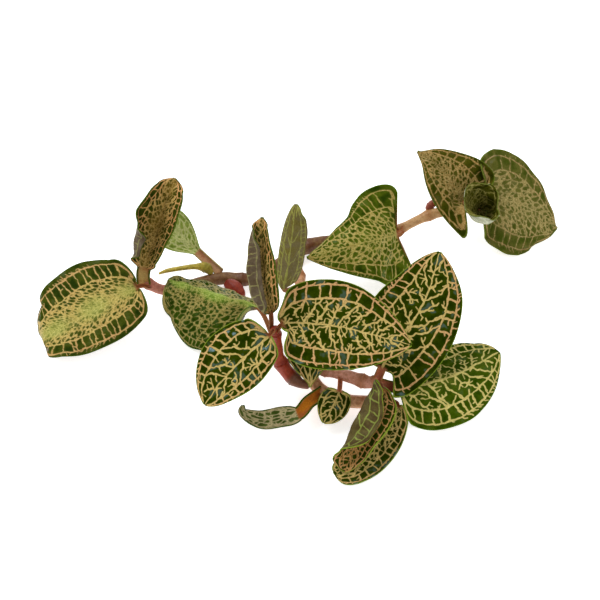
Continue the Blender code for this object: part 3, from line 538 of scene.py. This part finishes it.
# How the veins of one blade are spread. Pairs are the limits of a random draw, and widths are shares
# of the main vein's.
spread = {"room": 60000, "points": 60, "midribEnd": 0.985, "midribWidths": (1.2, 0.5), "midribWobble": 0.08,
          "loopSwing": 0.02, "loopWaves": 9, "loopStart": (-0.1, 0.05), "marginWidth": 0.9, "outerEnd": 0.75,
          "loopWobble": 0.12, "barReach": (0.025, 0.96), "barLean": (0.0, 0.035), "barWidth": (0.75, 1.0),
          "barWobble": 0.16, "barGap": (0.7, 1.35), "forked": 0.3, "forkAngle": 0.9,
          "forkLength": (0.8, 2), "forkGap": 0.7, "forkJoin": 0.5, "spurReach": (0.03, 0.97), "spurLean": 0.5,
          "spurLongest": 1.6, "spurShare": 0.32, "spurLength": (0.5, 1.2), "spurWidth": 0.9, "spurRoom": 0.6,
          "spurGap": (0.6, 1.6), "sideRoot": (0.15, 0.7), "sideReach": 0.88, "sideRise": (0.7, 1.3),
          "sideStop": (0.45, 0.75), "fromOuter": 0.3, "sideBend": 1.2, "sideWidths": (1.05, 0.8),
          "sideWobble": 0.3}


def layVeins(leaf, plan, length, rng):
    veins = []
    field = {"places": np.empty((spread["room"], 2)), "count": 0}

    def place(u, v):
        return flatPlace(leaf, length, np.asarray(u, float), np.asarray(v, float))

    def draw(what):
        return rng.uniform(*spread[what])

    def lay(x, y, width, end, main, wobble):
        x, y = addVein(veins, x, y, width, end, rng, main, wobble)
        keep(field, x, y)
        return x, y

    run = np.linspace(0, 1, spread["points"])
    x, y = place(run * spread["midribEnd"], run * 0)
    width, end = (plan["midrib"] * share for share in spread["midribWidths"])
    midrib = lay(x, y, width, end, True, spread["midribWobble"])
    outer = plan["loops"][-1]
    inner = [(midrib, (-1, 1))]
    for side in (-1, 1):
        for loop in plan["loops"] + (plan["margin"],):
            swing = spread["loopSwing"] * np.sin(run * spread["loopWaves"] + rng.uniform(0, 6))
            x, y = place(run, side * (loop + swing) * smoothStep(*spread["loopStart"], run))
            width = plan["main"] * (spread["marginWidth"] if loop == plan["margin"] else 1)
            line = lay(x[1:-1], y[1:-1], width, width * spread["outerEnd"], True, spread["loopWobble"])
            if loop != plan["margin"]:
                inner.append((line, (-side,) if loop == outer else (-1, 1)))
        # rungs between the outer loop and the margin vein
        u, last = spread["barReach"]
        while u < last:
            lean = draw("barLean")
            bars = np.linspace(0, 1, 8)
            x, y = place(u + lean * bars, side * (outer + (plan["margin"] - outer) * bars))
            x, y = lay(x, y, plan["main"] * draw("barWidth"),
                       plan["main"] * spread["outerEnd"], True, spread["barWobble"])
            if rng.random() < spread["forked"] and len(x) > 8:
                middle = len(x) // 2
                heading = math.atan2(y[-1] - y[0], x[-1] - x[0])
                heading += rng.choice((-spread["forkAngle"], spread["forkAngle"]))
                growTwig(veins, field, x[middle], y[middle], heading, draw("forkLength"),
                         plan["fineVein"], 0, spread["forkGap"], rng, spread["forkJoin"])
            u += plan["bar"] / length * draw("barGap")
        # short spurs outside the margin vein
        u, last = spread["spurReach"]
        while u < last:
            x, y = place([u, u + 0.004], [side * plan["margin"], side * (plan["margin"] + 0.05)])
            heading = math.atan2(y[1] - y[0], x[1] - x[0]) - side * spread["spurLean"]
            reach = min(spread["spurLongest"], (1 - plan["margin"]) * leaf["width"] * spread["spurShare"])
            growTwig(veins, field, x[0], y[0], heading, reach * draw("spurLength"),
                     plan["fineVein"] * spread["spurWidth"], 0, spread["spurRoom"], rng, 0)
            u += plan["bar"] / 2 / length * draw("spurGap")
        # side veins from the midrib to the outer loop, some of them stopping short
        for k in range(plan["sides"]):
            root = (k + draw("sideRoot")) / plan["sides"] * spread["sideReach"]
            rise = plan["rise"] * draw("sideRise")
            stop = 1.0 if rng.random() < plan["whole"] else draw("sideStop")
            share = np.linspace(0, 1, 12) * stop
            if rng.random() < spread["fromOuter"]:
                share = 1 - share
            x, y = place(root + rise * share ** spread["sideBend"], side * outer * share)
            width, end = (plan["main"] * part for part in spread["sideWidths"])
            line = lay(x, y, width, end, k % 2 == 0, spread["sideWobble"])
            inner.append((line, (-1, 1)))
    rng.shuffle(inner)
    for line, sides in inner:
        fillWithTwigs(veins, field, line, plan, rng, sides)
    return veins


def treeOf(xs, ys):
    tree = kdtree.KDTree(len(xs))
    for index, (a, b) in enumerate(zip(xs, ys)):
        tree.insert((a, b, 0), index)
    tree.balance()
    return tree


def nearest(lines, x, y):
    # distance from each point to the edge of the nearest vein, in mm
    xs = np.concatenate([line[0] for line in lines])
    ys = np.concatenate([line[1] for line in lines])
    half = np.concatenate([line[2] for line in lines])
    tree = treeOf(xs, ys)
    out = np.empty(len(x))
    for index, (a, b) in enumerate(zip(x, y)):
        out[index] = min(found[2] - half[found[1]] for found in tree.find_n((a, b, 0), 3))
    return out


# How the fine mesh is made: seeds are tried at random and kept where they stand clear of the others,
# its veins are thick in some places and thin in others, and it fades at its outer limit
cellForm = {"tries": 9000, "packing": 0.72, "widening": 1.3, "halvesApart": 200, "unevenness": 0.7,
            "fade": (0.92, 1.04), "faded": 4}


def netDistance(leaf, plan, length, x, y, v, rng):
    # distance to the fine mesh, whose cells are small by the midrib and larger outwards
    near, far = plan["cells"]
    stretch = plan["stretch"]
    limit = plan["netLimit"]
    generator = np.random.default_rng(rng.randrange(1 << 30))
    u0 = generator.uniform(0, 1, cellForm["tries"])
    v0 = generator.uniform(-limit, limit, cellForm["tries"])
    c, s = math.cos(plan["slant"]), math.sin(plan["slant"])

    def turned(x, y):
        # slits lie along the side veins, and the two halves keep apart
        out = np.abs(y)
        return (x * c + out * s) * stretch, (out * c - x * s) + np.where(y < 0, cellForm["halvesApart"], 0)

    px, py = turned(*flatPlace(leaf, length, u0, v0))
    spacing = near + (far - near) * (np.abs(v0) / limit) ** cellForm["widening"]
    kept = np.empty((0, 2))
    for a, b, gap in zip(px, py, spacing * cellForm["packing"]):
        if not (np.hypot(kept[:, 0] - a, kept[:, 1] - b) < gap).any():
            kept = np.vstack([kept, (a, b)])
    tree = treeOf(*kept.T)
    out = np.empty(len(x))
    for index, (a, b) in enumerate(zip(*turned(x, y))):
        first, second = tree.find_n((a, b, 0), 2)
        gap = max((first[0] - second[0]).length, 1e-6)
        out[index] = (second[2] ** 2 - first[2] ** 2) / (2 * gap)
    thick = np.sin(x * 1.1 + 2 * np.sin(y * 0.7)) * np.sin(y * 1.3 + 1.7 * np.sin(x * 0.6))
    out = out - plan["netVein"] / 2 * (1 + cellForm["unevenness"] * thick)
    low, high = (limit * share for share in cellForm["fade"])
    return out + cellForm["faded"] * smoothStep(low, high, np.abs(v))


def gridMesh(name, columns, rows):
    # a mesh of so many points each way, and the place of each of its points in a table row by row
    sheet = bmesh.new()
    bmesh.ops.create_grid(sheet, x_segments=columns - 1, y_segments=rows - 1, size=1)
    grid = (np.array([vertex.co for vertex in sheet.verts]) + 1) / 2
    mesh = bpy.data.meshes.new(name)
    sheet.to_mesh(mesh)
    sheet.free()
    column = np.rint(grid[:, 0] * (columns - 1)).astype(int)
    row = np.rint(grid[:, 1] * (rows - 1)).astype(int)
    return mesh, row * columns + column


def placePoints(mesh, points):
    mesh.vertices.foreach_set("co", ((points + planningShift) * mm).ravel())


def addAttribute(mesh, name, values):
    mesh.attributes.new(name, "FLOAT", "POINT").data.foreach_set("value", values.astype(np.float32))


def addPiece(name, mesh, materials, node):
    # a finished piece at the origin, which takes the place of its CAD node
    piece = bpy.data.objects.new(name, mesh)
    for material in materials:
        mesh.materials.append(material)
    mesh.shade_smooth()
    bpy.context.scene.collection.objects.link(piece)
    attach(piece, "root")
    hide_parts(node)
    return piece


def pieceName(node):
    first, *rest = node.split("_")
    return first + "".join(word.capitalize() for word in rest)


def makeBlade(node, leaf, materials):
    rng = random.Random(node)
    plan = dict(nets[blades[node].get("net", "dense")], **blades[node])
    *_, spineLength, start = spineOf(leaf)
    length = spineLength * (1 - start)
    spacing = plan.get("spacing", fine["spacing"])
    columns = 2 * int(leaf["width"] * max(leaf.get("sides", (1, 1))) / 2 / spacing) + 1
    columns = max(columns, fine["fewestColumns"])
    stalkRows = max(int(spineLength * start / fine["stalkSpacing"]), fine["fewestStalkRows"])
    bladeRows = int(length / spacing)
    rows = stalkRows + bladeRows
    mesh, index = gridMesh(pieceName(node), columns, rows)
    v = np.tile(np.linspace(-1, 1, columns), rows)
    s = np.repeat(np.concatenate([np.linspace(0, start, stalkRows, endpoint=False),
                                  np.linspace(start, 1, bladeRows)]), columns)
    u = (s - start) / (1 - start)
    x, y = flatPlace(leaf, length, u, v)
    # a small bend of the whole net keeps its lines from being straight
    bentX = x + fine["bend"] * np.sin(x * 1.9 + 1.3 * np.sin(y * 1.5))
    bentY = y + fine["bend"] * np.sin(y * 2.1 + 1.3 * np.sin(x * 1.4))
    veins = layVeins(leaf, plan, length, rng)
    vein = nearest(veins, bentX, bentY)
    rib = nearest([line for line in veins if line[3]], x, y)
    if "cells" in plan:
        vein = np.minimum(vein, netDistance(leaf, plan, length, bentX, bentY, v, rng))
    side = sideOf(v)
    half = halfWidth(leaf, u, side)
    edge = np.minimum(half * (1 - np.abs(v)), (1 - np.clip(u, 0, 1)) * length + fine["tipRim"])
    stalk = (1 - smoothStep(*fine["stalkEnd"], u)) * (1 - smoothStep(*fine["stalkSides"], np.abs(y)))
    vein = np.clip(vein, *fine["veinSpan"])
    # surface, then relief along its own normals
    points = leafPoints(leaf, s, v).reshape(rows, columns, 3)
    normals = unit(np.cross(np.gradient(points, axis=1), np.gradient(points, axis=0))).reshape(-1, 3)
    points = points.reshape(-1, 3)
    calm = smoothStep(0, fine["calmEdge"], edge) * (1 - stalk)
    puff = fine["puff"] * (1 - np.exp(-np.maximum(vein, 0) / fine["puffReach"])) * calm
    swell = fine["swell"] * np.sin(x / fine["swellLength"] * 6.3 + rng.uniform(0, 6))
    swell = swell * np.sin(y / fine["swellLength"] * 6.3 + rng.uniform(0, 6)) * calm
    points = points + normals * (puff + swell)[:, None]
    placePoints(mesh, points[index])
    glow = plan["glow"] * np.exp(-(np.abs(v) / plan["glowReach"]) ** 2)
    glow = glow * (1 - fine["glowSwing"] + fine["glowSwing"] * np.sin(x * 0.35 + 1))
    warm = smoothStep(0, 1, np.abs(v) + fine["warmSwing"] * np.sin(x * 0.5 + 2 * side))
    warm = plan["warm"] * fine["warmGain"] * warm
    for name, values in (("vein", vein), ("rib", np.clip(rib, *fine["veinSpan"])), ("glow", glow),
                         ("warm", warm), ("edge", np.clip(edge, *fine["edgeSpan"])), ("stalk", stalk)):
        addAttribute(mesh, name, values[index])
    piece = addPiece(pieceName(node), mesh, materials, node)
    thicken = piece.modifiers.new("Thickness", "SOLIDIFY")
    thicken.thickness = fine["thickness"] * mm
    thicken.offset = 0
    thicken.material_offset = 1
    thicken.material_offset_rim = 0


# How a stem is formed, in mm and in shares of its radius: both ends are drawn out a little, so that
# the pieces grow into one another, and at a node it swells round a raised ring with a groove beside it
stemForm = {"reach": 1.1, "around": 29, "rowsPerPoint": 40, "fewestRows": 60, "swellWidth": 2.2,
            "ring": 0.16, "ringWidth": 0.28, "groove": 0.1, "grooveOffset": 0.7, "grooveWidth": 0.35,
            "skinReach": 3, "roundedEnd": 0.8, "ridges": (0.035, 5), "fineRidges": (0.02, 11), "weld": 0.02}


def makeStem(node, points, look, materials):
    table = np.array(points, float)
    steps = table[[0, -1]] - table[[1, -2]]
    table[[0, -1]] += steps * stemForm["reach"] / np.linalg.norm(steps[:, :3], axis=1, keepdims=True)
    table[:, 3] = table[:, 3].clip(min(p[3] for p in points), max(p[3] for p in points))
    path, length = smoothPath(table, max(stemForm["rowsPerPoint"] * len(points), stemForm["fewestRows"]))
    rows, around = len(path), stemForm["around"]
    tangent = unit(np.gradient(path[:, :3], axis=0))
    across = unit(np.cross(tangent, np.where(np.abs(tangent[:, 2:3]) > 0.9, (1, 0, 0), (0, 0, 1))))
    up = np.cross(across, tangent)
    mesh, index = gridMesh(pieceName(node), around, rows)
    share = np.linspace(0, 1, rows)
    distance = share * length
    radius = path[:, 3].copy()
    closeness = np.zeros(rows)
    for place in look["nodes"]:
        gap = (share - place) * length
        radius *= 1 + look["swell"] * np.exp(-(gap / stemForm["swellWidth"]) ** 2)
        radius += stemForm["ring"] * np.exp(-(gap / stemForm["ringWidth"]) ** 2)
        pastRing = gap - stemForm["grooveOffset"]
        radius -= stemForm["groove"] * np.exp(-(pastRing / stemForm["grooveWidth"]) ** 2)
        closeness = np.maximum(closeness, np.exp(-(gap / stemForm["skinReach"]) ** 2))
    tip = np.minimum(distance, length - distance) / (radius * stemForm["roundedEnd"])
    radius *= np.sqrt(1 - (1 - np.clip(tip, 0, 1)) ** 2)
    turn = np.linspace(0, 2 * math.pi, around)
    (height, count), (fineHeight, fineCount) = stemForm["ridges"], stemForm["fineRidges"]
    ridges = height * np.sin(count * turn + 0.15 * distance[:, None])
    ridges = ridges + fineHeight * np.sin(fineCount * turn + 1.2 * np.sin(distance[:, None] * 0.4))
    size = radius[:, None] * (1 + ridges)
    ring = (across[:, None, :] * np.cos(turn)[None, :, None] + up[:, None, :] * np.sin(turn)[None, :, None])
    surface = path[:, None, :3] + ring * size[:, :, None]
    placePoints(mesh, surface.reshape(-1, 3)[index])
    addAttribute(mesh, "node", np.repeat(closeness, around)[index])
    addAttribute(mesh, "run", np.repeat(distance, around)[index])
    # close the seam and the two ends, and turn the faces out
    tube = bmesh.new()
    tube.from_mesh(mesh)
    bmesh.ops.remove_doubles(tube, verts=tube.verts[:], dist=stemForm["weld"] * mm)
    bmesh.ops.recalc_face_normals(tube, faces=tube.faces[:])
    tube.to_mesh(mesh)
    tube.free()
    addPiece(pieceName(node), mesh, materials, node)


def toLinear(colour):
    values = [int(colour[k:k + 2], 16) / 255 for k in (1, 3, 5)]
    return (*(c / 12.92 if c <= 0.04045 else ((c + 0.055) / 1.055) ** 2.4 for c in values), 1)


def addNode(tree, kind, inputs, output=0, **settings):
    # a node with its sockets filled or linked and its properties set; gives one of its outputs
    node = tree.nodes.new("ShaderNode" + kind)
    for name, value in settings.items():
        setattr(node, name, value)
    for name, value in inputs.items():
        if isinstance(value, bpy.types.NodeSocket):
            tree.links.new(value, node.inputs[name])
        else:
            node.inputs[name].default_value = value
    return node.outputs[output]


def paint(tree, colour, coats):
    # each coat covers the colour where its mask runs from bare to full, up to its strength. A mix of
    # colours takes them on its inputs 6 and 7 and gives its own as output 2.
    for mask, bare, full, strength, tint in coats:
        cover = addNode(tree, "MapRange", {"Value": mask, "From Min": bare, "From Max": full,
                                           "To Max": strength}, interpolation_type="SMOOTHSTEP")
        tint = toLinear(tint) if isinstance(tint, str) else tint
        colour = addNode(tree, "Mix", {0: cover, 6: colour, 7: tint}, 2, data_type="RGBA")
    return colour


def mottle(tree, colour, grain, dark, light):
    # tissue is uneven: its colour goes up and down with the grain
    shade = addNode(tree, "MapRange", {"Value": grain, "From Min": 0.3, "From Max": 0.7, "To Min": dark,
                                       "To Max": light}, interpolation_type="SMOOTHSTEP")
    return addNode(tree, "Mix", {0: 1.0, 6: colour, 7: shade}, 2, data_type="RGBA", blend_type="MULTIPLY")


def finish(tree, shader, colour, relief, roughness, specular):
    # relief is a grain, its strength and its height in mm; a number that is the same all over is set
    # on its own socket
    grain, strength, height = relief
    bump = addNode(tree, "Bump", {"Height": grain, "Strength": strength, "Distance": height * mm}, "Normal")
    for socket, value in (("Base Color", colour), ("Normal", bump), ("Roughness", roughness),
                          ("Specular IOR Level", specular)):
        if isinstance(value, bpy.types.NodeSocket):
            tree.links.new(value, shader.inputs[socket])
        else:
            shader.inputs[socket].default_value = value


def startMaterial(name, attributes=(), grains=()):
    # the attributes are read by name, and the grains are noise of so many mm across
    material = bpy.data.materials.new(name)
    material.use_nodes = True
    tree = material.node_tree
    place = addNode(tree, "TexCoord", {}, "Object") if grains else None
    fields = [addNode(tree, "Attribute", {}, "Fac", attribute_name=what) for what in attributes]
    for size in grains:
        fields.append(addNode(tree, "TexNoise", {"Vector": place, "Scale": 1 / (size * mm)}, "Fac"))
    return material, tree, tree.nodes["Principled BSDF"], fields


def bladeMaterial(name, look):
    # leaf epidermis of small domed cells over pale vein tissue: velvety green with a faint satin
    # shine. The blotches are 5 mm wide, and the grain of 0.5 mm is that of some ten cells together.
    material, tree, shader, fields = startMaterial(name, ("vein", "glow", "warm", "edge", "stalk"), (5, 0.5))
    vein, glow, warm, edge, stalk, patch, grain = fields
    cell = paint(tree, toLinear(look["cell"]), [
        (patch, 0.35, 0.65, 1, look["cellEdge"]), (vein, 0.9, 0, 0.5, look["cellEdge"]),
        (glow, 0.05, 1, 0.55, look["lime"])])
    line = paint(tree, toLinear(look["vein"]), [
        (warm, 0.15, 0.9, 1, look["warmVein"]), (glow, 0.15, 0.9, 0.8, look["lime"]),
        (grain, 0.35, 0.75, 0.25, "#e2cf95")])
    flesh = paint(tree, toLinear(look["petiole"]), [(patch, 0.3, 0.7, 0.65, "#964a28")])
    colour = paint(tree, cell, [
        (vein, 0.14, -0.1, 1, line), (edge, 0.42, 0.15, 1, look["rim"]), (stalk, 0, 1, 1, flesh)])
    # veins are duller than cells, and the puffed cells shine grey-blue in patches
    rough = addNode(tree, "MapRange", {"Value": vein, "From Min": 0.2, "From Max": -0.05, "To Min": 0.36,
                                       "To Max": 0.5}, interpolation_type="SMOOTHSTEP")
    shine = addNode(tree, "MapRange", {"Value": patch, "From Min": 0.58, "From Max": 0.68, "To Min": 0,
                                       "To Max": look["shine"]}, interpolation_type="SMOOTHSTEP")
    shine = addNode(tree, "MapRange", {"Value": vein, "From Min": 0.05, "From Max": 0.25, "To Min": 0.09,
                                       "To Max": shine}, interpolation_type="SMOOTHSTEP")
    finish(tree, shader, mottle(tree, colour, grain, 0.86, 1.12), (grain, 0.35, 0.2), rough, shine)
    shader.inputs["Specular Tint"].default_value = toLinear("#a4cde8")
    return material


def undersideMaterial(name, look):
    # the leaf's matt underside: grey aubergine tissue with the larger veins pale through it
    material, tree, shader, fields = startMaterial(name, ("rib", "stalk"), (4, 0.6))
    rib, stalk, patch, grain = fields
    colour = paint(tree, toLinear(look["under"]), [
        (patch, 0.3, 0.7, 0.5, look["underPatch"]), (rib, 0.1, -0.16, 0.85, look["rib"]),
        (stalk, 0, 1, 1, look["petiole"])])
    finish(tree, shader, mottle(tree, colour, grain, 0.85, 1.12), (grain, 0.4, 0.2), 0.55, 0.15)
    return material


def stemMaterial(name, look):
    # juicy stem under a thin skin: waxy, streaked along, darker at its joints
    material, tree, shader, fields = startMaterial(name, ("node", "run"), (1.4, 0.4))
    node, run, streak, grain = fields
    # a shoot may rise from an older, browner foot
    foot, footLength = look.get("foot", look["skin"]), look.get("footLength", 0)
    colour = paint(tree, toLinear(look["flesh"]), [
        (streak, 0.35, 0.65, 0.6, look["skin"]), (node, 0.4, 1, 0.7, look["skin"]),
        (run, footLength, footLength - 3, 0.9, foot)])
    finish(tree, shader, mottle(tree, colour, grain, 0.88, 1.1), (streak, 0.3, 0.3), 0.42, 0.25)
    return material


# The plant, blade by blade and stem by stem
usualLook = {"petiole": "#94643f", "underPatch": "#6f6450", "shine": 0.15}
for node, leaf in leaves.items():
    look = dict(usualLook, **dict(zip(leafParts, finishes[blades[node]["finish"]])), **blades[node])
    materials = [bladeMaterial(pieceName(node) + "Epidermis", look),
                 undersideMaterial(pieceName(node) + "Underside", look)]
    makeBlade(node, leaf, materials)
print("leaves made:", len(leaves))
for node, points in stems.items():
    makeStem(node, points, stemFinishes[node], [stemMaterial(pieceName(node) + "Skin", stemFinishes[node])])
print("stems, buds and roots made:", len(stems))

# A pale sheet under soft white light, and the camera that all was planned from
studio = {"floorSize": 4.0, "floorGlow": 0.6, "world": 0.55, "target": (0, 0, 20), "elevation": 50,
          "distance": 600, "lens": 90, "sensor": 36}
# Places and sizes in metres, each lamp turned to the plant
softboxes = {
    "keyLight": dict(place=(-0.5, 0.35, 0.9), power=7.0, size=0.6, colour=(1, 1, 1)),
    "fillLight": dict(place=(0.7, -0.5, 0.8), power=3.0, size=0.9, colour=(1, 1, 1)),
    "windowLight": dict(place=(0.1, 0.62, 0.72), power=0.9, size=0.3, colour=(0.72, 0.86, 1.0)),
}
white = toLinear("#ffffff")
floorMesh = bpy.data.meshes.new("floor")
sheet = bmesh.new()
bmesh.ops.create_grid(sheet, x_segments=1, y_segments=1, size=studio["floorSize"] / 2)
sheet.to_mesh(floorMesh)
sheet.free()
# smooth matt paper, lit a little from below so that it stays white
floorMaterial, _, shader, _ = startMaterial("mattPaper")
shader.inputs["Base Color"].default_value = white
shader.inputs["Roughness"].default_value = 0.9
shader.inputs["Emission Color"].default_value = white
shader.inputs["Emission Strength"].default_value = studio["floorGlow"]
floorMesh.materials.append(floorMaterial)
floor = bpy.data.objects.new("floor", floorMesh)
bpy.context.scene.collection.objects.link(floor)

world = bpy.data.worlds.new("softWhite")
world.use_nodes = True
background = world.node_tree.nodes["Background"]
background.inputs["Color"].default_value = white
background.inputs["Strength"].default_value = studio["world"]
bpy.context.scene.world = world

for name, softbox in softboxes.items():
    light = bpy.data.lights.new(name, "AREA")
    light.color = softbox["colour"]
    light.energy = softbox["power"]
    light.size = softbox["size"]
    lamp = bpy.data.objects.new(name, light)
    lamp.location = softbox["place"]
    lamp.rotation_euler = Vector(softbox["place"]).to_track_quat("Z", "Y").to_euler()
    bpy.context.scene.collection.objects.link(lamp)

camera = bpy.data.cameras.new("camera")
camera.lens = studio["lens"]
camera.sensor_width = studio["sensor"]
eye = bpy.data.objects.new("camera", camera)
target = Vector((np.array(studio["target"]) + planningShift) * mm)
angle = math.radians(studio["elevation"])
away = Vector((0, -math.cos(angle), math.sin(angle)))
eye.location = target + away * studio["distance"] * mm
eye.rotation_euler = away.to_track_quat("Z", "Y").to_euler()
bpy.context.scene.collection.objects.link(eye)
bpy.context.scene.camera = eye
bpy.context.scene.view_settings.view_transform = "Standard"
print("light and camera set")
